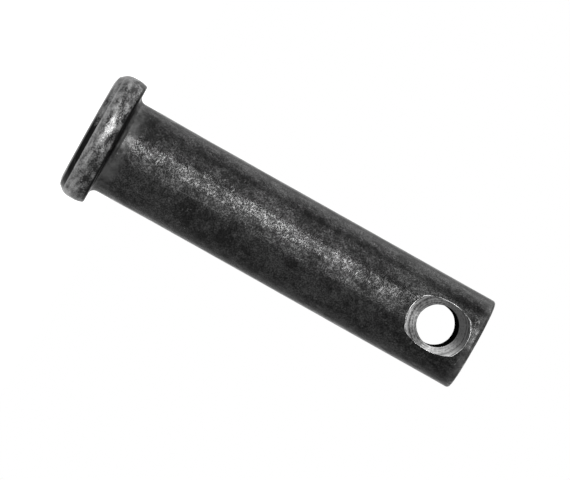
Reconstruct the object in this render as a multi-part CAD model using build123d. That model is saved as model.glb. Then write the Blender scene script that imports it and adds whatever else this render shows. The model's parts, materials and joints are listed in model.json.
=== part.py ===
from build123d import *
import os

# Clevis pin: one piece of steel, cold headed, then cross drilled for a cotter.
# A round shank has a flat head with a rounded rim at one end and a countersunk hole
# through it near the other. The pin goes through a clevis, and a cotter in the hole
# keeps it there.
#
# Frame (millimetres): the origin is the centre of the head's outer face, on which
# the pin stands. +Z runs along the shank to the tip. The cotter hole runs along Y.

# Shank
SHANK_D = 12.6  # a loose fit in a clevis bored 1/2 inch
SEAT_TO_HOLE = 47.0  # head's seat to the cotter hole's axis
HOLE_TO_TIP = 5.4  # that axis to the tip
TIP_EDGE_R = 0.45  # rounding of the tip's edge

# Head. Its rim is a row of rings. An inset is how far a ring lies inside the widest
# one, and a height is measured from the outer face.
HEAD_D = 17.44  # over the widest ring
HEAD_HEIGHT = 4.0  # outer face to seat
FACE_INSET = 2.7  # edge of the flat face, where it starts to roll over
CORNER_INSET = 0.9  # corner between the rolled edge and the bevel
CORNER_HEIGHT = 0.22
RIDGE_INSET = 0.28  # ridge between the bevel and the crowned rim
RIDGE_HEIGHT = 0.92
WIDEST_HEIGHT = 2.2
SEAT_INSET = 0.28  # edge of the seat, where the crown has come in again
CORNER_R = 0.6
RIDGE_R = 0.5
SEAT_EDGE_R = 0.3
NECK_R = 0.8  # fillet between the seat and the shank

# Cotter hole. Its mouths are countersunk with the point of a larger drill, deep enough
# for the drill's body to leave a low wall where the shank stands highest.
HOLE_D = 5.5
SINK_D = 8.5
SINK_ANGLE = 118.0  # degrees, included: a twist drill's point
SINK_WALL = 0.57  # the cone's widest ring lies this far below the shank's crest


def turned_blank():
    """The headed blank: half its outline in the XZ plane, turned about Z."""
    widest_r = HEAD_D / 2
    shank_r = SHANK_D / 2
    tip_z = HEAD_HEIGHT + SEAT_TO_HOLE + HOLE_TO_TIP
    corner = (widest_r - CORNER_INSET, CORNER_HEIGHT)
    ridge = (widest_r - RIDGE_INSET, RIDGE_HEIGHT)
    widest = (widest_r, WIDEST_HEIGHT)
    seat_edge = (widest_r - SEAT_INSET, HEAD_HEIGHT)
    neck = (shank_r, HEAD_HEIGHT)
    tip_edge = (shank_r, tip_z)
    rounding = (
        (corner, CORNER_R),
        (ridge, RIDGE_R),
        (seat_edge, SEAT_EDGE_R),
        (neck, NECK_R),
        (tip_edge, TIP_EDGE_R),
    )

    with BuildPart() as blank:
        with BuildSketch(Plane.XZ) as outline:
            with BuildLine():
                face = Line((0, 0), (widest_r - FACE_INSET, 0))
                TangentArc(face @ 1, corner, tangent=face % 1)
                Line(corner, ridge)
                TangentArc(widest, ridge, tangent=(0, -1))
                TangentArc(widest, seat_edge, tangent=(0, 1))
                Polyline(seat_edge, neck, tip_edge, (0, tip_z), (0, 0))
            make_face()
            for point, radius in rounding:
                fillet(outline.vertices().sort_by_distance(point)[0], radius)
        revolve(axis=Axis.Z)
    return blank.part


def clevis_pin():
    """The blank with its cotter hole, drilled and countersunk from each side."""
    with BuildPart() as pin:
        add(turned_blank())
        for side in (1, -1):
            ring = (0, side * (SHANK_D / 2 - SINK_WALL), HEAD_HEIGHT + SEAT_TO_HOLE)
            with Locations(Plane(origin=ring, z_dir=(0, side, 0))):
                CounterSinkHole(HOLE_D / 2, SINK_D / 2, SHANK_D, SINK_ANGLE)
    return pin.part


os.makedirs("parts", exist_ok=True)
export_step(clevis_pin(), "parts/clevis_pin.step")
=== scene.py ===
"""Looks of the clevis pin: a worn, blackened, cold-headed steel pin with a bare countersunk cross hole.

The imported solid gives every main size. The pin is turned from its outline and drilled with
Geometry Nodes, with the small unevenness of a forged and tumbled part, and stands on its head."""
import json
import math
from collections import namedtuple

import bpy
from mathutils import Matrix, Vector


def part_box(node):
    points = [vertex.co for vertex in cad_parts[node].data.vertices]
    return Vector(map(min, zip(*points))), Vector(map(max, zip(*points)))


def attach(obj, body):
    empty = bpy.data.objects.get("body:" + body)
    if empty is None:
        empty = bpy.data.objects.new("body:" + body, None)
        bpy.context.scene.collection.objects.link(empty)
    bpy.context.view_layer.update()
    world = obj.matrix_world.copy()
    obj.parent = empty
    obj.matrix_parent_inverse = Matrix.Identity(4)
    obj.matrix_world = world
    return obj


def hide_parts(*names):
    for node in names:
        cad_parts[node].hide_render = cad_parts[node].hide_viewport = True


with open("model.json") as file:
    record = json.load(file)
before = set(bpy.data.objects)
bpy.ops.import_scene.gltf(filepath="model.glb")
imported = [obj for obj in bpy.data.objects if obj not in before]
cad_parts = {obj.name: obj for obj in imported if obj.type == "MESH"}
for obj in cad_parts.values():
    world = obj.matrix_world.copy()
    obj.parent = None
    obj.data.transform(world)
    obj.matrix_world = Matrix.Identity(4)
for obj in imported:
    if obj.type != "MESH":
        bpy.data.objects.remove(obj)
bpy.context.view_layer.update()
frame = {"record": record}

MM = 0.001  # metres in a millimetre
NODE = "clevis_pin"
BODY = "root"
SEED = 7

# Sizes from the frame, in millimetres
mounts = {mount["name"]: mount for mount in frame["record"]["mounts"]}
LOW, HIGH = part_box(NODE)
HEAD_R = HIGH.x / MM
TIP_Z = HIGH.z / MM
SHANK_R = mounts["shank"]["dims"]["r_mm"]
HOLE_R = mounts["cotter_hole"]["dims"]["r_mm"]
BORE_HALF = mounts["cotter_hole"]["dims"]["length_mm"] / 2
HOLE_Z = mounts["cotter_hole"]["pos_m"][2] / MM
SEAT_Z = mounts["head_seat"]["pos_m"][2] / MM

# The head's rings, in millimetres. An inset is how far a ring lies inside the widest one, and a
# height is measured from the outer face.
FACE_INSET = 1.8  # middle of the roll over the face's edge
FACE_ROLL_R = 5.8
CORNER_INSET = 0.9
CORNER_HEIGHT = 0.22
CORNER_R = 0.6
BEVEL_INSET = 0.373  # on the bevel, close under the ridge, where its scale stops being whole
BEVEL_HEIGHT = 0.815
RIDGE_INSET = 0.28
RIDGE_HEIGHT = 0.92
RIDGE_R = 0.4
LOW_CROWN_HEIGHT = 1.53  # the rim's crown curves in from here to the ridge
LOW_CROWN_R = 1.9
HIGH_CROWN_HEIGHT = 3.12  # and from here to the seat
HIGH_CROWN_R = 3.2
SEAT_INSET = 0.28
SEAT_EDGE_R = 0.3

# Shank, in millimetres
NECK_R = 0.8
SWELL = 0.08  # how much the cold heading swelled the shank under the head
SWELL_LENGTH = 9.0
SWELL_R = 200
TIP_WEAR = 1.6  # length by the tip that is worn more and more
TIP_EDGE_R = 0.45

# Drills, in millimetres
SINK_R = 4.25  # the larger drill, that countersinks the mouths
SINK_SLOPE = math.tan(math.radians(59))  # half the included angle of its point
SINK_EDGE_R = 0.12
BORE_EDGE_R = 0.1
CUT_REACH = 7.0  # how far the drill's shape runs out on each side of the axis

# Spacing of an outline's points, in millimetres
FLAT_STEP = 0.4
HEAD_STEP = 0.12
NECK_STEP = 0.14
SHANK_STEP = 0.26
TIP_STEP = 0.2
DRILL_STEP = 0.11
CLEAR_STEP = 1.0  # outside the pin
TURN_PARTS = 8  # a small rounding has at least this many parts for each radian


def linear(hex_colour):
    """An sRGB hex colour as linear RGBA."""
    channels = [int(hex_colour[i:i + 2], 16) / 255 for i in (1, 3, 5)]
    return [c / 12.92 if c <= 0.04045 else ((c + 0.055) / 1.055) ** 2.4 for c in channels] + [1.0]


def add_node(tree, kind, inputs=None, **settings):
    """Adds a node with its settings. inputs maps a socket's name or number to a value, or to a
    socket to link."""
    node = tree.nodes.new(kind)
    for name, value in settings.items():
        setattr(node, name, value)
    for key, value in (inputs or {}).items():
        if isinstance(value, bpy.types.NodeSocket):
            tree.links.new(value, node.inputs[key])
        else:
            node.inputs[key].default_value = value
    return node


# ---------------------------------------------------------------- outlines

# One corner of an outline: radius and height, the rounding of the corner, how worn the
# surface is there, and the spacing of the points that lead up to it.
Corner = namedtuple("Corner", "r z rounding wear step")


def straight_run(start, end, wear, end_wear, step):
    """Points after start up to end, evenly spaced."""
    count = max(1, math.ceil((end - start).length / step))
    shares = [i / count for i in range(1, count + 1)]
    return [(start.lerp(end, s), wear + (end_wear - wear) * s) for s in shares]


def outline(corners):
    """Points and wear along a line of corners, each rounded with an arc that is tangent to both sides."""
    places = [Vector((c.r, c.z)) for c in corners]
    here, wear = places[0], corners[0].wear
    points = [(here, wear)]
    for i in range(1, len(corners) - 1):
        corner, at = corners[i], places[i]
        back = (places[i - 1] - at).normalized()
        onward = (places[i + 1] - at).normalized()
        half = back.angle(onward) / 2
        setback = corner.rounding / math.tan(half)
        points += straight_run(here, at + back * setback, wear, corner.wear, corner.step)
        here, wear = at + onward * setback, corner.wear
        if corner.rounding > 0:
            centre = at + (back + onward).normalized() * corner.rounding / math.sin(half)
            start = at + back * setback - centre
            sweep = start.angle_signed(here - centre)
            count = math.ceil(abs(sweep) * max(corner.rounding / corner.step, TURN_PARTS))
            for k in range(1, count + 1):
                points.append((centre + Matrix.Rotation(-sweep * k / count, 2) @ start, wear))
    last = corners[-1]
    return points + straight_run(here, places[-1], wear, last.wear, last.step)


def pin_outline():
    """Half the headed blank, from the middle of the head's face to the middle of the tip."""
    return outline([
        Corner(0, 0, 0, 0.1, FLAT_STEP),
        Corner(HEAD_R - FACE_INSET, 0, FACE_ROLL_R, 0.2, FLAT_STEP),
        Corner(HEAD_R - CORNER_INSET, CORNER_HEIGHT, CORNER_R, 0.05, HEAD_STEP),
        Corner(HEAD_R - BEVEL_INSET, BEVEL_HEIGHT, 0, 0.05, HEAD_STEP),
        Corner(HEAD_R - RIDGE_INSET, RIDGE_HEIGHT, RIDGE_R, 1.0, HEAD_STEP),
        Corner(HEAD_R, LOW_CROWN_HEIGHT, LOW_CROWN_R, 0.76, HEAD_STEP),
        Corner(HEAD_R, HIGH_CROWN_HEIGHT, HIGH_CROWN_R, 0.56, HEAD_STEP),
        Corner(HEAD_R - SEAT_INSET, SEAT_Z, SEAT_EDGE_R, 0.05, HEAD_STEP),
        Corner(SHANK_R + SWELL, SEAT_Z, NECK_R, 0.1, NECK_STEP),
        Corner(SHANK_R, SEAT_Z + SWELL_LENGTH, SWELL_R, 0.15, SHANK_STEP),
        Corner(SHANK_R, TIP_Z - TIP_WEAR, 0, 0.1, SHANK_STEP),
        Corner(SHANK_R, TIP_Z, TIP_EDGE_R, 0.34, TIP_STEP),
        Corner(0, TIP_Z, 0, 0.2, FLAT_STEP),
    ])


def drill_outline():
    """Half the shape that the drills take away, along the hole's axis: the bore, the cone that the
    larger drill's point leaves at each mouth, and above it the wall that its body leaves."""
    ring = BORE_HALF + (SINK_R - HOLE_R) / SINK_SLOPE
    half = [
        Corner(0, CUT_REACH, 0, 0, CLEAR_STEP),
        Corner(SINK_R, CUT_REACH, 0, 0, CLEAR_STEP),
        Corner(SINK_R, ring, SINK_EDGE_R, 0, DRILL_STEP),
        Corner(HOLE_R, BORE_HALF, BORE_EDGE_R, 0, DRILL_STEP),
    ]
    return outline([corner._replace(z=-corner.z) for corner in half] + half[::-1])


# ---------------------------------------------------------------- geometry trees

def geometry_tree(name, inputs):
    """An empty tree with geometry in and out and the named inputs, each a socket type and a value."""
    tree = bpy.data.node_groups.new(name, "GeometryNodeTree")
    tree.interface.new_socket("Geometry", in_out="INPUT", socket_type="NodeSocketGeometry")
    tree.interface.new_socket("Geometry", in_out="OUTPUT", socket_type="NodeSocketGeometry")
    for title, (kind, value) in inputs.items():
        socket = tree.interface.new_socket(title, in_out="INPUT", socket_type="NodeSocket" + kind)
        if value is not None:
            socket.default_value = value
    return tree, add_node(tree, "NodeGroupInput"), add_node(tree, "NodeGroupOutput")


def grown(name, mesh, tree, **values):
    """Runs a tree on a mesh and returns the result as an object with a plain mesh."""
    source = bpy.data.objects.new(name + "_source", mesh)
    bpy.context.scene.collection.objects.link(source)
    modifier = source.modifiers.new(name, "NODES")
    modifier.node_group = tree
    for item in tree.interface.items_tree:
        key = item.name.replace(" ", "_").lower()
        if item.in_out == "INPUT" and key in values:
            modifier[item.identifier] = values[key]
    depsgraph = bpy.context.evaluated_depsgraph_get()
    result = bpy.data.meshes.new_from_object(source.evaluated_get(depsgraph), depsgraph=depsgraph)
    source.modifiers.remove(modifier)
    bpy.data.objects.remove(source)
    # The mesh that went in had no finish, which can leave an empty slot before the first one.
    if result.materials and result.materials[0] is None:
        result.materials.pop(index=0)
    result.name = name
    piece = bpy.data.objects.new(name, result)
    bpy.context.scene.collection.objects.link(piece)
    return piece


def turned_skin(tree, profile, columns):
    """The profile's points turned about Z into a closed skin, which keeps how worn each one is."""
    rows = add_node(tree, "GeometryNodeAttributeDomainSize", {0: profile}).outputs["Point Count"]
    grid_columns = add_node(tree, "ShaderNodeMath", {0: columns, 1: 1}, operation="ADD")
    grid = add_node(
        tree, "GeometryNodeMeshGrid", {"Vertices X": grid_columns.outputs[0], "Vertices Y": rows}
    )
    index = add_node(tree, "GeometryNodeInputIndex").outputs[0]
    row = add_node(tree, "ShaderNodeMath", {0: index, 1: rows}, operation="MODULO").outputs[0]
    over_rows = add_node(tree, "ShaderNodeMath", {0: index, 1: rows}, operation="DIVIDE").outputs[0]
    column = add_node(tree, "ShaderNodeMath", {0: over_rows}, operation="FLOOR").outputs[0]
    turn = add_node(tree, "ShaderNodeMath", {0: column, 1: columns}, operation="DIVIDE").outputs[0]
    angle = add_node(tree, "ShaderNodeMath", {0: turn, 1: 2 * math.pi}, operation="MULTIPLY").outputs[0]
    place = add_node(tree, "GeometryNodeInputPosition").outputs[0]
    sampled = add_node(
        tree, "GeometryNodeSampleIndex", {"Geometry": profile, "Value": place, "Index": row},
        data_type="FLOAT_VECTOR",
    )
    around = add_node(
        tree, "ShaderNodeVectorRotate", {"Vector": sampled.outputs[0], "Angle": angle},
        rotation_type="Z_AXIS",
    )
    turned = add_node(
        tree, "GeometryNodeSetPosition", {"Geometry": grid.outputs["Mesh"], "Position": around.outputs[0]}
    )
    profile_wear = add_node(tree, "GeometryNodeInputNamedAttribute", {"Name": "wear"})
    wear = add_node(
        tree, "GeometryNodeSampleIndex",
        {"Geometry": profile, "Value": profile_wear.outputs[0], "Index": row},
    )
    worn = add_node(
        tree, "GeometryNodeStoreNamedAttribute",
        {"Geometry": turned.outputs[0], "Name": "wear", "Value": wear.outputs[0]},
    )
    closed = add_node(tree, "GeometryNodeMergeByDistance", {"Geometry": worn.outputs[0], "Distance": 1e-6})
    return closed.outputs[0]


def sunk_depth(tree, size, depth, seed, start):
    """How deep dents of one size sink each point. The part of the noise below start leaves none."""
    scale = add_node(tree, "ShaderNodeMath", {0: 1.0, 1: size}, operation="DIVIDE")
    noise = add_node(
        tree, "ShaderNodeTexNoise",
        {"W": seed, "Scale": scale.outputs[0], "Detail": 3.0, "Roughness": 0.55}, noise_dimensions="4D",
    )
    share = add_node(
        tree, "ShaderNodeMapRange", {"Value": noise.outputs["Fac"], "From Min": start, "From Max": 0.8}
    )
    return add_node(tree, "ShaderNodeMath", {0: share.outputs[0], 1: depth}, operation="MULTIPLY").outputs[0]


def turning_tree():
    """Turns an outline about Z. The mesh in holds the outline's points in order, radius along X,
    and how worn each is. Dents and pits then sink into the turned surface."""
    tree, given, result = geometry_tree("Turned part", {
        "Columns": ("Int", 240),
        "Dent Size": ("Float", 5 * MM),
        "Dent Depth": ("Float", 0.0),
        "Pit Size": ("Float", 0.8 * MM),
        "Pit Depth": ("Float", 0.0),
        "Seed": ("Int", SEED),
        "Finish": ("Material", None),
    })
    skin = turned_skin(tree, given.outputs["Geometry"], given.outputs["Columns"])
    seed = given.outputs["Seed"]
    dents = sunk_depth(tree, given.outputs["Dent Size"], given.outputs["Dent Depth"], seed, 0.3)
    pits = sunk_depth(tree, given.outputs["Pit Size"], given.outputs["Pit Depth"], seed, 0.5)
    depth = add_node(tree, "ShaderNodeMath", {0: dents, 1: pits}, operation="ADD")
    inward = add_node(tree, "ShaderNodeMath", {0: depth.outputs[0], 1: -1.0}, operation="MULTIPLY")
    normal = add_node(tree, "GeometryNodeInputNormal")
    offset = add_node(
        tree, "ShaderNodeVectorMath", {0: normal.outputs[0], "Scale": inward.outputs[0]}, operation="SCALE"
    )
    dented = add_node(tree, "GeometryNodeSetPosition", {"Geometry": skin, "Offset": offset.outputs[0]})
    smooth = add_node(tree, "GeometryNodeSetShadeSmooth", {"Geometry": dented.outputs[0]})
    realized = add_node(tree, "GeometryNodeRealizeInstances", {"Geometry": smooth.outputs[0]})
    finished = add_node(
        tree, "GeometryNodeSetMaterial",
        {"Geometry": realized.outputs[0], "Material": given.outputs["Finish"]},
    )
    tree.links.new(finished.outputs[0], result.inputs[0])
    return tree


def off_hole_axis(tree, hole_height):
    """Where each point lies across the hole's axis, measured from it."""
    position = add_node(tree, "GeometryNodeInputPosition")
    place = add_node(tree, "ShaderNodeSeparateXYZ", {0: position.outputs[0]})
    rise = add_node(
        tree, "ShaderNodeMath", {0: place.outputs["Z"], 1: hole_height}, operation="SUBTRACT"
    )
    return add_node(tree, "ShaderNodeCombineXYZ", {"X": place.outputs["X"], "Z": rise.outputs[0]}).outputs[0]


def creased(tree, mesh, angle):
    """The mesh shaded smooth, but for the edges that are sharper than the angle."""
    smooth = add_node(tree, "GeometryNodeSetShadeSmooth", {"Geometry": mesh})
    at_edge = add_node(tree, "GeometryNodeInputMeshEdgeAngle")
    gentle = add_node(
        tree, "FunctionNodeCompare", {0: at_edge.outputs["Unsigned Angle"], 1: angle}, operation="LESS_THAN"
    )
    return add_node(
        tree, "GeometryNodeSetShadeSmooth",
        {"Geometry": smooth.outputs[0], "Shade Smooth": gentle.outputs[0]}, domain="EDGE",
    ).outputs[0]


def drilling_tree():
    """Takes the drill's shape out of the blank. The edge of each mouth is marked for the burrs."""
    tree, given, result = geometry_tree("Cross drilling", {
        "Drill": ("Object", None),
        "Bore Radius": ("Float", HOLE_R * MM),
        "Hole Height": ("Float", HOLE_Z * MM),
        "Crease": ("Float", math.radians(30)),
        "Bore Finish": ("Material", None),
    })
    drill = add_node(
        tree, "GeometryNodeObjectInfo", {"Object": given.outputs["Drill"]}, transform_space="RELATIVE"
    )
    cut = add_node(
        tree, "GeometryNodeMeshBoolean",
        {"Mesh 1": given.outputs["Geometry"], "Mesh 2": drill.outputs["Geometry"]},
        operation="DIFFERENCE", solver="EXACT",
    )
    marked = add_node(
        tree, "GeometryNodeStoreNamedAttribute",
        {"Geometry": cut.outputs["Mesh"], "Name": "mouth", "Value": cut.outputs["Intersecting Edges"]},
        data_type="BOOLEAN", domain="EDGE",
    )
    cleaned = add_node(tree, "GeometryNodeMergeByDistance", {"Geometry": marked.outputs[0], "Distance": 2e-6})
    shaded = creased(tree, cleaned.outputs[0], given.outputs["Crease"])
    realized = add_node(tree, "GeometryNodeRealizeInstances", {"Geometry": shaded})

    # The drilled bore is whatever lies no further from the hole's axis than its radius, and a hair.
    across = off_hole_axis(tree, given.outputs["Hole Height"])
    distance = add_node(tree, "ShaderNodeVectorMath", {0: across}, operation="LENGTH")
    limit = add_node(
        tree, "ShaderNodeMath", {0: given.outputs["Bore Radius"], 1: 1.003}, operation="MULTIPLY"
    )
    in_bore = add_node(
        tree, "FunctionNodeCompare", {0: distance.outputs["Value"], 1: limit.outputs[0]},
        operation="LESS_THAN",
    )
    finished = add_node(tree, "GeometryNodeSetMaterial", {
        "Geometry": realized.outputs[0], "Selection": in_bore.outputs[0],
        "Material": given.outputs["Bore Finish"],
    })
    tree.links.new(finished.outputs[0], result.inputs[0])
    return tree


def ragged_edge(tree, edge, spacing, raggedness):
    """The edge as a curve of evenly spaced points, each moved a little to and fro."""
    even = add_node(tree, "GeometryNodeResampleCurve", {"Curve": edge, "Length": spacing}, mode="LENGTH")
    shake = add_node(tree, "ShaderNodeTexNoise", {"Scale": 1.8 / MM, "Detail": 3.0})
    centred = add_node(
        tree, "ShaderNodeVectorMath", {0: shake.outputs["Color"], 1: (0.5, 0.5, 0.5)}, operation="SUBTRACT"
    )
    scaled = add_node(
        tree, "ShaderNodeVectorMath", {0: centred.outputs[0], "Scale": raggedness}, operation="SCALE"
    )
    doubled = add_node(tree, "ShaderNodeVectorMath", {0: scaled.outputs[0], "Scale": 2.0}, operation="SCALE")
    return add_node(
        tree, "GeometryNodeSetPosition", {"Geometry": even.outputs[0], "Offset": doubled.outputs[0]}
    ).outputs[0]


def smear_share(tree, hole_height):
    """How thick the lip is at each point, as a share. It is uneven, and the drill smears most steel
    over the two ends of the mouth, where the shank lies level, and more towards the tip."""
    thick = add_node(tree, "ShaderNodeTexNoise", {"Scale": 0.7 / MM, "Detail": 3.0})
    share = add_node(
        tree, "ShaderNodeMapRange",
        {"Value": thick.outputs["Fac"], "From Min": 0.38, "From Max": 0.62, "To Min": 0.2},
    )
    way = add_node(tree, "ShaderNodeVectorMath", {0: off_hole_axis(tree, hole_height)}, operation="NORMALIZE")
    way = add_node(tree, "ShaderNodeSeparateXYZ", {0: way.outputs[0]})
    along = add_node(tree, "ShaderNodeMath", {0: way.outputs["Z"]}, operation="ABSOLUTE")
    at_end = add_node(
        tree, "ShaderNodeMapRange",
        {"Value": along.outputs[0], "From Min": 0.6, "From Max": 0.9, "To Min": 0.25},
        interpolation_type="SMOOTHSTEP",
    )
    tip_side = add_node(
        tree, "ShaderNodeMapRange",
        {"Value": way.outputs["Z"], "From Min": -0.5, "From Max": 0.5, "To Min": 0.6},
    )
    for factor in (at_end, tip_side):
        share = add_node(
            tree, "ShaderNodeMath", {0: share.outputs[0], 1: factor.outputs[0]}, operation="MULTIPLY"
        )
    return share.outputs[0]


def burr_tree():
    """A ragged lip of smeared steel along the marked edges of the drilled mesh."""
    tree, given, result = geometry_tree("Burr", {
        "Thickness": ("Float", 0.11 * MM),
        "Point Spacing": ("Float", 0.07 * MM),
        "Raggedness": ("Float", 0.06 * MM),
        "Hole Height": ("Float", HOLE_Z * MM),
        "Finish": ("Material", None),
    })
    mouth = add_node(tree, "GeometryNodeInputNamedAttribute", {"Name": "mouth"}, data_type="BOOLEAN")
    edge = add_node(
        tree, "GeometryNodeMeshToCurve", {"Mesh": given.outputs["Geometry"], "Selection": mouth.outputs[0]}
    )
    ragged = ragged_edge(tree, edge.outputs[0], given.outputs["Point Spacing"], given.outputs["Raggedness"])
    share = smear_share(tree, given.outputs["Hole Height"])
    widths = add_node(tree, "GeometryNodeSetCurveRadius", {"Curve": ragged, "Radius": share})
    section = add_node(
        tree, "GeometryNodeCurvePrimitiveCircle", {"Resolution": 7, "Radius": given.outputs["Thickness"]}
    )
    scale = add_node(tree, "GeometryNodeInputRadius")
    lip = add_node(
        tree, "GeometryNodeCurveToMesh",
        {"Curve": widths.outputs[0], "Profile Curve": section.outputs[0], "Scale": scale.outputs[0]},
    )
    smooth = add_node(tree, "GeometryNodeSetShadeSmooth", {"Geometry": lip.outputs[0]})
    realized = add_node(tree, "GeometryNodeRealizeInstances", {"Geometry": smooth.outputs[0]})
    finished = add_node(
        tree, "GeometryNodeSetMaterial",
        {"Geometry": realized.outputs[0], "Material": given.outputs["Finish"]},
    )
    tree.links.new(finished.outputs[0], result.inputs[0])
    return tree


# ---------------------------------------------------------------- materials

# How coarse each finish is, in millimetres
STAIN_SIZE = 3.0  # thicker and thinner scale
BLOT_SIZE = 0.8
CREST_SPACING = 0.2  # the crinkled skin that tumbling leaves, a little coarser than it is
WORN_SIZE = 1.6  # patches worn through to bare steel
WAVE_SIZE = 1.5  # unevenness of the forged surface
RING_SPACING = 0.3  # the drill's rings, coarser than they are, because real ones are too fine to show
RING_WANDER = 2.5
GRAIN_SIZE = 0.3
BORE_GRAIN_SIZE = 0.4
SMEAR_SIZE = 0.9

# Where the bevel is scuffed bare on one side, partly wear and partly painted light that makes that side
# lighter; in millimetres and in turn from the front towards +X
SCUFF_SHEEN_TURN = math.radians(-50)
SCUFF_SHEEN_INSET = 1.3
SCUFF_SHEEN_TOP = 1.1
SCUFF_SHEEN_WHOLE = 0.8


def new_material(name):
    """An empty node material, with the place on the pin in millimetres."""
    material = bpy.data.materials.new(name)
    material.use_nodes = True
    tree = material.node_tree
    tree.nodes.clear()
    object_place = add_node(tree, "ShaderNodeTexCoord").outputs["Object"]
    place = add_node(tree, "ShaderNodeMapping", {"Vector": object_place, "Scale": (1 / MM,) * 3})
    return material, tree, place.outputs[0]


def bevel_scuff_and_sheen(tree, place, height):
    """How far the bevel is scuffed bare: on one side, and its scale is whole on the other. The bare side is
    partly painted light that makes that side of the bevel lighter.
    """
    flat = add_node(tree, "ShaderNodeVectorMath", {0: place, 1: (1, 1, 0)}, operation="MULTIPLY")
    radius = add_node(tree, "ShaderNodeVectorMath", {0: flat.outputs[0]}, operation="LENGTH")
    side = add_node(tree, "ShaderNodeVectorMath", {0: flat.outputs[0]}, operation="NORMALIZE")
    way = (math.sin(SCUFF_SHEEN_TURN), -math.cos(SCUFF_SHEEN_TURN), 0)
    towards = add_node(tree, "ShaderNodeVectorMath", {0: side.outputs[0], 1: way}, operation="DOT_PRODUCT")
    scuff_sheen = add_node(
        tree, "ShaderNodeMapRange",
        {"Value": towards.outputs["Value"], "From Min": 0.68, "From Max": 0.85, "To Max": 0.75},
    )
    far_out = add_node(tree, "ShaderNodeMapRange", {
        "Value": radius.outputs["Value"],
        "From Min": HEAD_R - SCUFF_SHEEN_INSET, "From Max": HEAD_R - CORNER_INSET,
    })
    low_down = add_node(
        tree, "ShaderNodeMapRange", {"Value": height, "From Min": SCUFF_SHEEN_TOP, "From Max": SCUFF_SHEEN_WHOLE}
    )
    for limit in (far_out, low_down):
        scuff_sheen = add_node(
            tree, "ShaderNodeMath", {0: scuff_sheen.outputs[0], 1: limit.outputs[0]}, operation="MULTIPLY"
        )
    return scuff_sheen.outputs[0]


def scale_mottle(tree, place):
    """Thinner and thicker scale, in stains with blots in them. The blots also come alone."""
    stains = add_node(
        tree, "ShaderNodeTexNoise", {"Vector": place, "W": 4.0, "Scale": 1 / STAIN_SIZE, "Detail": 3.0},
        noise_dimensions="4D",
    )
    blots = add_node(
        tree, "ShaderNodeTexNoise",
        {"Vector": place, "Scale": 1 / BLOT_SIZE, "Detail": 5.0, "Roughness": 0.65},
    )
    mottle = add_node(
        tree, "ShaderNodeMath", {0: stains.outputs["Fac"], 1: blots.outputs["Fac"]}, operation="ADD"
    )
    return mottle.outputs[0], blots.outputs["Fac"]


def tumbled_zone(tree, height):
    """1 along the tumbled shank. The heading die left the neck smooth, and the cut-off dulled the
    tip's edge, so there it falls to 0."""
    past_neck = add_node(
        tree, "ShaderNodeMapRange", {"Value": height, "From Min": SEAT_Z + 0.9, "From Max": SEAT_Z + 2.4}
    )
    at_tip = add_node(
        tree, "ShaderNodeMapRange", {"Value": height, "From Min": TIP_Z - 1.4, "From Max": TIP_Z - 0.5}
    )
    return add_node(
        tree, "ShaderNodeMath", {0: past_neck.outputs[0], 1: at_tip.outputs[0]},
        operation="SUBTRACT", use_clamp=True,
    ).outputs[0]


def smooth_and_sheen_zone(tree, height, tumbled):
    """1 at the neck and the tip's edge: past the head, but not tumbled. There the skin is smooth, and the
    mask also paints it a lighter grey that is partly painted reflection.
    """
    # The lighter grey starts only 0.3 mm past the seat, so a near-black band stays under the head: painted
    # shade where the head overhangs the neck.
    past_seat = add_node(
        tree, "ShaderNodeMapRange", {"Value": height, "From Min": SEAT_Z, "From Max": SEAT_Z + 0.3}
    )
    return add_node(
        tree, "ShaderNodeMath", {0: past_seat.outputs[0], 1: tumbled}, operation="SUBTRACT"
    ).outputs[0]


def rubbed_crests(tree, crinkle, mottle, tumbled, wear):
    """How bare the skin is rubbed: its crests on the shank, most where the scale is thin, and a
    little of all that is worn."""
    crest = add_node(
        tree, "ShaderNodeMapRange", {"Value": crinkle, "From Min": 0.42, "From Max": 0.62, "To Min": 0.2}
    )
    thin = add_node(
        tree, "ShaderNodeMapRange", {"Value": mottle, "From Min": 0.85, "From Max": 1.17, "To Min": 0.3}
    )
    rub = crest.outputs[0]
    for factor in (tumbled, thin.outputs[0], 0.165):
        rub = add_node(tree, "ShaderNodeMath", {0: rub, 1: factor}, operation="MULTIPLY").outputs[0]
    return add_node(tree, "ShaderNodeMath", {0: wear, 1: 0.12, 2: rub}, operation="MULTIPLY_ADD").outputs[0]


def bare_patches(tree, place, wear, crinkle):
    """Whole patches of bare steel where the wear is high, drawn out round the rim."""
    around = add_node(tree, "ShaderNodeVectorMath", {0: place, 1: (1, 1, 2.2)}, operation="MULTIPLY")
    patches = add_node(
        tree, "ShaderNodeTexNoise",
        {"Vector": around.outputs[0], "W": 5.0, "Scale": 1 / WORN_SIZE, "Detail": 4.0, "Roughness": 0.65},
        noise_dimensions="4D",
    )
    worn = add_node(
        tree, "ShaderNodeMath", {0: wear, 1: 0.5, 2: patches.outputs["Fac"]}, operation="MULTIPLY_ADD"
    )
    worn = add_node(
        tree, "ShaderNodeMath", {0: crinkle, 1: 0.45, 2: worn.outputs[0]}, operation="MULTIPLY_ADD"
    )
    return add_node(
        tree, "ShaderNodeMapRange", {"Value": worn.outputs[0], "From Min": 0.925, "From Max": 1.285}
    ).outputs[0]


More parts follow.
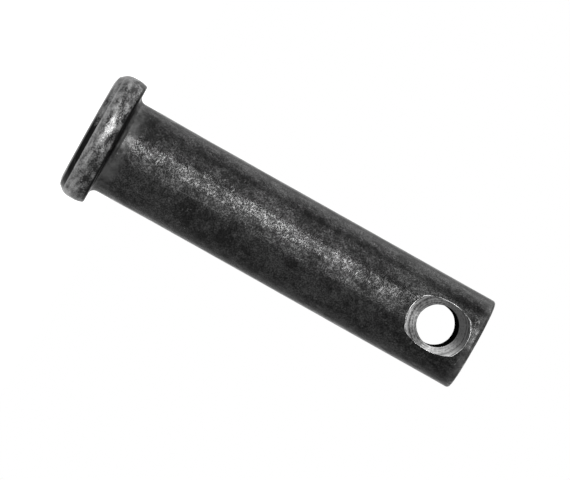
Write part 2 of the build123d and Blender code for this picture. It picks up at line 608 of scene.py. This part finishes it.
def scale_colour(tree, mottle, smooth, bare):
    """Near black scale, greyer where it is thin and smooth, and mid grey steel where it is bare. The grey on
    the smooth neck and tip edge is partly painted reflection.
    """
    thin = add_node(tree, "ShaderNodeMapRange", {"Value": mottle, "From Min": 0.85, "From Max": 1.15})
    # Lighter grey on the smooth neck and tip edge: partly painted reflection.
    grey = add_node(tree, "ShaderNodeMapRange", {"Value": thin.outputs[0], "To Min": 0.3})
    grey = add_node(tree, "ShaderNodeMath", {0: grey.outputs[0], 1: smooth}, operation="MULTIPLY")
    colour = linear("#080808")
    for share, tint in ((thin.outputs[0], "#161616"), (grey.outputs[0], "#484848"), (bare, "#808080")):
        colour = add_node(
            tree, "ShaderNodeMix", {"Factor": share, 6: colour, 7: linear(tint)}, data_type="RGBA"
        ).outputs[2]
    return colour


def skin_bump(tree, place, crinkle, blots, tumbled):
    """The skin's fine relief: long waves of the forging, the scale's blots, and tumbled crinkles."""
    waves = add_node(tree, "ShaderNodeTexNoise", {"Vector": place, "Scale": 1 / WAVE_SIZE, "Detail": 1.0})
    slope = add_node(
        tree, "ShaderNodeMapRange", {"Value": crinkle, "From Min": 0.3, "From Max": 0.56, "To Max": 0.12}
    )
    relief = add_node(
        tree, "ShaderNodeMath", {0: slope.outputs[0], 1: tumbled}, operation="MULTIPLY"
    ).outputs[0]
    for part, share in ((blots, 0.4), (waves.outputs["Fac"], 2.0)):
        relief = add_node(
            tree, "ShaderNodeMath", {0: part, 1: share, 2: relief}, operation="MULTIPLY_ADD"
        ).outputs[0]
    return add_node(
        tree, "ShaderNodeBump", {"Strength": 1.0, "Distance": 0.045 * MM, "Height": relief}
    ).outputs[0]


def blackened_steel():
    """Cold-headed steel under black heat-treatment scale, then tumbled. The scale is near black and
    mottled, the tumbling left its skin crinkled with rubbed crests that glint under a lamp, and the
    rim is worn through to grey steel."""
    material, tree, place = new_material("blackened_cold_headed_steel")
    height = add_node(tree, "ShaderNodeSeparateXYZ", {0: place}).outputs["Z"]
    edges = add_node(tree, "ShaderNodeAttribute", attribute_name="wear").outputs["Fac"]
    wear = add_node(
        # The bevel's scuff is partly painted light on one side of the bevel.
        tree, "ShaderNodeMath", {0: edges, 1: bevel_scuff_and_sheen(tree, place, height)}, operation="MAXIMUM"
    ).outputs[0]
    crinkle = add_node(
        tree, "ShaderNodeTexNoise",
        {"Vector": place, "Scale": 1 / CREST_SPACING, "Detail": 2.0, "Roughness": 0.6},
    ).outputs["Fac"]
    mottle, blots = scale_mottle(tree, place)
    tumbled = tumbled_zone(tree, height)
    # The smooth neck and tip edge, painted lighter as partly painted reflection.
    smooth = smooth_and_sheen_zone(tree, height, tumbled)
    rub = rubbed_crests(tree, crinkle, mottle, tumbled, wear)
    patch = bare_patches(tree, place, wear, crinkle)
    bare = add_node(tree, "ShaderNodeMath", {0: patch, 1: rub}, operation="MAXIMUM").outputs[0]
    dull = add_node(tree, "ShaderNodeMath", {0: patch, 1: smooth}, operation="MAXIMUM").outputs[0]
    roughness = add_node(
        tree, "ShaderNodeMapRange", {"Value": dull, "From Max": 0.5, "To Min": 0.19, "To Max": 0.27}
    )
    metal = add_node(tree, "ShaderNodeMapRange", {"Value": bare, "From Max": 0.25, "To Min": 0.5})
    shader = add_node(tree, "ShaderNodeBsdfPrincipled", {
        "Base Color": scale_colour(tree, mottle, smooth, bare),
        "Metallic": metal.outputs[0], "Roughness": roughness.outputs[0],
        "Specular IOR Level": 0.02, "Specular Tint": (0.7, 0.7, 0.7, 1),
        "Normal": skin_bump(tree, place, crinkle, blots, tumbled),
    })
    add_node(tree, "ShaderNodeOutputMaterial", {"Surface": shader.outputs[0]})
    return material


def drill_rings(tree, place, radius):
    """The rings that the drill's lips cut, wandering a little as the drill chattered."""
    wander = add_node(tree, "ShaderNodeTexNoise", {"Vector": place, "Scale": 1 / RING_WANDER, "Detail": 2.0})
    wobbled = add_node(
        tree, "ShaderNodeMath", {0: wander.outputs["Fac"], 1: 0.25, 2: radius}, operation="MULTIPLY_ADD"
    )
    return add_node(
        tree, "ShaderNodeTexNoise", {"W": wobbled.outputs[0], "Scale": 1 / RING_SPACING, "Detail": 2.0},
        noise_dimensions="1D",
    ).outputs["Fac"]


def painted_highlight_and_shade_sides(tree, colour, flat, tone):
    """Painted highlight and painted shade on the cone: a light tint on one side of the hole's axis and a dark
    tint opposite, broken up by the tool marks.
    """
    side = add_node(tree, "ShaderNodeVectorMath", {0: flat}, operation="NORMALIZE")
    broken = add_node(tree, "ShaderNodeMapRange", {"Value": tone, "To Min": 0.35})
    # A light tint at 58 degrees is the painted highlight, a dark tint at -35 degrees the painted shade.
    for degrees, tint, start, most in ((58, "#a6a6a6", 0.62, 0.7), (-35, "#1c1c1c", 0.15, 0.95)):
        turn = math.radians(degrees)
        way = (math.sin(turn), 0, math.cos(turn))
        towards = add_node(
            tree, "ShaderNodeVectorMath", {0: side.outputs[0], 1: way}, operation="DOT_PRODUCT"
        )
        share = add_node(
            tree, "ShaderNodeMapRange",
            {"Value": towards.outputs["Value"], "From Min": start, "To Max": most},
            interpolation_type="SMOOTHSTEP",
        )
        share = add_node(
            tree, "ShaderNodeMath", {0: share.outputs[0], 1: broken.outputs[0]}, operation="MULTIPLY"
        )
        colour = add_node(
            tree, "ShaderNodeMix", {"Factor": share.outputs[0], 6: colour, 7: linear(tint)}, data_type="RGBA"
        ).outputs[2]
    return colour


def machined_steel():
    """Bare steel as the drill's point left it: mid grey, with the rings that its lips cut, and a painted
    highlight and painted shade on opposite sides of the cone.
    """
    material, tree, place = new_material("countersunk_bare_steel")
    from_hole = add_node(tree, "ShaderNodeVectorMath", {0: place, 1: (0, 0, -HOLE_Z)}, operation="ADD")
    flat = add_node(
        tree, "ShaderNodeVectorMath", {0: from_hole.outputs[0], 1: (1, 0, 1)}, operation="MULTIPLY"
    ).outputs[0]
    radius = add_node(tree, "ShaderNodeVectorMath", {0: flat}, operation="LENGTH").outputs["Value"]
    rings = drill_rings(tree, place, radius)
    grain = add_node(
        tree, "ShaderNodeTexNoise",
        {"Vector": place, "Scale": 1 / GRAIN_SIZE, "Detail": 3.0, "Roughness": 0.7},
    )
    mixed = add_node(tree, "ShaderNodeMath", {0: grain.outputs["Fac"], 1: rings}, operation="ADD")
    tone = add_node(
        tree, "ShaderNodeMapRange", {"Value": mixed.outputs[0], "From Min": 0.8, "From Max": 1.2}
    ).outputs[0]
    colour = add_node(
        tree, "ShaderNodeMix", {"Factor": tone, 6: linear("#343434"), 7: linear("#868686")},
        data_type="RGBA",
    ).outputs[2]
    bump = add_node(tree, "ShaderNodeBump", {"Strength": 0.7, "Distance": 0.03 * MM, "Height": rings})
    shader = add_node(tree, "ShaderNodeBsdfPrincipled", {
        "Base Color": painted_highlight_and_shade_sides(tree, colour, flat, tone), "Metallic": 1.0, "Roughness": 0.36,
        "Normal": bump.outputs[0],
    })
    add_node(tree, "ShaderNodeOutputMaterial", {"Surface": shader.outputs[0]})
    return material


def painted_shade_bore_steel():
    """The drilled wall: near black and matte, with no reflection, as painted shade in the deep bore."""
    material, tree, place = new_material("blackened_bore_steel")
    grain = add_node(
        tree, "ShaderNodeTexNoise", {"Vector": place, "Scale": 1 / BORE_GRAIN_SIZE, "Detail": 3.0}
    )
    colour = add_node(
        tree, "ShaderNodeMix", {"Factor": grain.outputs["Fac"], 6: linear("#060606"), 7: linear("#161616")},
        data_type="RGBA",
    )
    # No specular at all, so the bore stays black: painted shade.
    shader = add_node(tree, "ShaderNodeBsdfPrincipled", {
        "Base Color": colour.outputs[2], "Roughness": 0.8, "Specular IOR Level": 0.0,
    })
    add_node(tree, "ShaderNodeOutputMaterial", {"Surface": shader.outputs[0]})
    return material


def burr_steel():
    """Steel smeared over the countersink's edge: bright where it is fresh, grey where it is crushed."""
    material, tree, place = new_material("smeared_bright_steel")
    smear = add_node(tree, "ShaderNodeTexNoise", {"Vector": place, "Scale": 1 / SMEAR_SIZE, "Detail": 4.0})
    fresh = add_node(
        tree, "ShaderNodeMapRange", {"Value": smear.outputs["Fac"], "From Min": 0.38, "From Max": 0.6}
    )
    colour = add_node(
        tree, "ShaderNodeMix", {"Factor": fresh.outputs[0], 6: linear("#8a8a8a"), 7: linear("#e0e0e0")},
        data_type="RGBA",
    )
    shader = add_node(tree, "ShaderNodeBsdfPrincipled", {
        "Base Color": colour.outputs[2], "Metallic": 1.0, "Roughness": 0.4,
    })
    add_node(tree, "ShaderNodeOutputMaterial", {"Surface": shader.outputs[0]})
    return material


# ---------------------------------------------------------------- the pin

def outline_mesh(name, points):
    """A mesh of the outline's points in order, in metres, radius along X, with their wear."""
    mesh = bpy.data.meshes.new(name)
    mesh.from_pydata([(place.x * MM, 0, place.y * MM) for place, _ in points], [], [])
    wear = mesh.attributes.new("wear", "FLOAT", "POINT")
    wear.data.foreach_set("value", [share for _, share in points])
    return mesh


def build_pin():
    """The drilled pin and its burrs, as two plain meshes."""
    turning = turning_tree()
    blank = grown(
        "blank", outline_mesh("blank_outline", pin_outline()), turning,
        columns=240, dent_depth=0.03 * MM, pit_depth=0.015 * MM, seed=SEED, finish=blackened_steel(),
    )
    drill = grown(
        "drill", outline_mesh("drill_outline", drill_outline()), turning,
        columns=144, dent_depth=0.10 * MM, dent_size=2.5 * MM, seed=SEED + 1, finish=machined_steel(),
    )
    drill.data.transform(Matrix.Translation((0, 0, HOLE_Z * MM)) @ Matrix.Rotation(math.pi / 2, 4, "X"))
    pin = grown("pin", blank.data, drilling_tree(), drill=drill, bore_finish=painted_shade_bore_steel())
    burrs = grown("mouth_burrs", pin.data, burr_tree(), finish=burr_steel())
    bpy.data.objects.remove(blank)
    bpy.data.objects.remove(drill)
    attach(pin, BODY)
    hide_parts(NODE)
    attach(burrs, BODY)


# ---------------------------------------------------------------- studio

# Lengths here are in metres.
CAMERA_DISTANCE = 0.72
CAMERA_HEIGHT = 0.0083  # a little above the head, so the tip leans a little away
AIM_HEIGHT = 0.02887
VIEW_WIDTH = 0.07293  # what the frame takes in at the pin
SENSOR_WIDTH = 36.0  # millimetres
LEAN = math.radians(29.32)  # the shank runs down to the right by this much
FLOOR_HALF = 3.0
ROOM_LIGHT = 0.35
PAPER_GLOW = 0.9
LAMP_DISTANCE = 0.6
LAMPS = (  # name, azimuth and elevation in degrees, width, height, radiance
    ("key_box", -22.5, -2.7, 0.33, 0.115, 30.0),
    ("front_box", 8, 4, 0.30, 0.20, 4.0),
    ("side_box", -61, 4, 0.34, 0.20, 3.2),
    ("far_side_box", -116, 10, 0.45, 0.25, 2.6),
    ("top_box", -20, 65, 0.35, 0.35, 2.0),
    ("back_top_box", 160, 55, 0.35, 0.35, 2.0),
)


def sees_background(tree):
    """1 for rays from the camera, and for those that metal or glass passes on, else 0."""
    path = add_node(tree, "ShaderNodeLightPath")
    seen = path.outputs["Is Camera Ray"]
    for kind in ("Is Glossy Ray", "Is Transmission Ray"):
        seen = add_node(
            tree, "ShaderNodeMath", {0: seen, 1: path.outputs[kind]}, operation="MAXIMUM"
        ).outputs[0]
    return seen


def build_floor():
    """A sheet of white paper that keeps the pin's soft shadow."""
    mesh = bpy.data.meshes.new("floor")
    corners = [(x * FLOOR_HALF, y * FLOOR_HALF, 0) for x, y in ((-1, -1), (1, -1), (1, 1), (-1, 1))]
    mesh.from_pydata(corners, [], [(0, 1, 2, 3)])
    floor = bpy.data.objects.new("floor", mesh)
    bpy.context.scene.collection.objects.link(floor)
    material = bpy.data.materials.new("white_paper")
    material.use_nodes = True
    tree = material.node_tree
    tree.nodes.clear()
    paper = add_node(tree, "ShaderNodeBsdfDiffuse", {"Color": linear("#f4f4f4")})
    glow = add_node(tree, "ShaderNodeEmission", {"Color": (1, 1, 1, 1), "Strength": PAPER_GLOW})
    both = add_node(tree, "ShaderNodeAddShader", {0: paper.outputs[0], 1: glow.outputs[0]})
    shown = add_node(
        tree, "ShaderNodeMixShader", {0: sees_background(tree), 1: paper.outputs[0], 2: both.outputs[0]}
    )
    add_node(tree, "ShaderNodeOutputMaterial", {"Surface": shown.outputs[0]})
    mesh.materials.append(material)


def build_world():
    """A dim, even room that lights the pin. To the camera and in reflections it is white."""
    world = bpy.data.worlds.new("studio")
    bpy.context.scene.world = world
    world.use_nodes = True
    tree = world.node_tree
    tree.nodes.clear()
    room = add_node(tree, "ShaderNodeBackground", {"Color": (1, 1, 1, 1), "Strength": ROOM_LIGHT})
    white = add_node(tree, "ShaderNodeBackground", {"Color": (1, 1, 1, 1), "Strength": 1.0})
    mixed = add_node(
        tree, "ShaderNodeMixShader", {0: sees_background(tree), 1: room.outputs[0], 2: white.outputs[0]}
    )
    add_node(tree, "ShaderNodeOutputWorld", {"Surface": mixed.outputs[0]})


def add_lamp(name, azimuth, elevation, width, height, radiance):
    """A soft box aimed at the pin's middle. Azimuth 0 is the camera's side, and it turns towards +X."""
    light = bpy.data.lights.new(name, "AREA")
    light.shape = "RECTANGLE"
    light.size = width
    light.size_y = height
    light.energy = radiance * width * height * math.pi
    lamp = bpy.data.objects.new(name, light)
    bpy.context.scene.collection.objects.link(lamp)
    turn = math.radians(azimuth)
    tilt = math.radians(elevation)
    way = Vector((math.sin(turn) * math.cos(tilt), -math.cos(turn) * math.cos(tilt), math.sin(tilt)))
    middle = Vector((0, 0, (LOW.z + HIGH.z) / 2))
    lamp.location = middle + way * LAMP_DISTANCE
    lamp.rotation_euler = way.to_track_quat("Z", "Y").to_euler()


def build_camera():
    """A long lens, level with the standing pin and rolled so that the pin leans in the frame."""
    camera = bpy.data.cameras.new("camera")
    camera.sensor_width = SENSOR_WIDTH
    camera.lens = SENSOR_WIDTH * CAMERA_DISTANCE / VIEW_WIDTH
    camera.clip_start = 0.01
    rig = bpy.data.objects.new("camera", camera)
    bpy.context.scene.collection.objects.link(rig)
    eye = Vector((0, -CAMERA_DISTANCE, CAMERA_HEIGHT))
    back = (eye - Vector((0, 0, AIM_HEIGHT))).normalized()
    shank = Vector((0, 0, 1)) - back * back.z
    shank.normalize()
    across = shank.cross(back)
    right = shank * math.cos(LEAN) - across * math.sin(LEAN)
    up = back.cross(right)
    rig.matrix_world = Matrix.Translation(eye) @ Matrix((right, up, back)).transposed().to_4x4()
    bpy.context.scene.camera = rig


build_pin()
build_floor()
build_world()
for lamp in LAMPS:
    add_lamp(*lamp)
build_camera()
bpy.context.scene.view_settings.view_transform = "Standard"
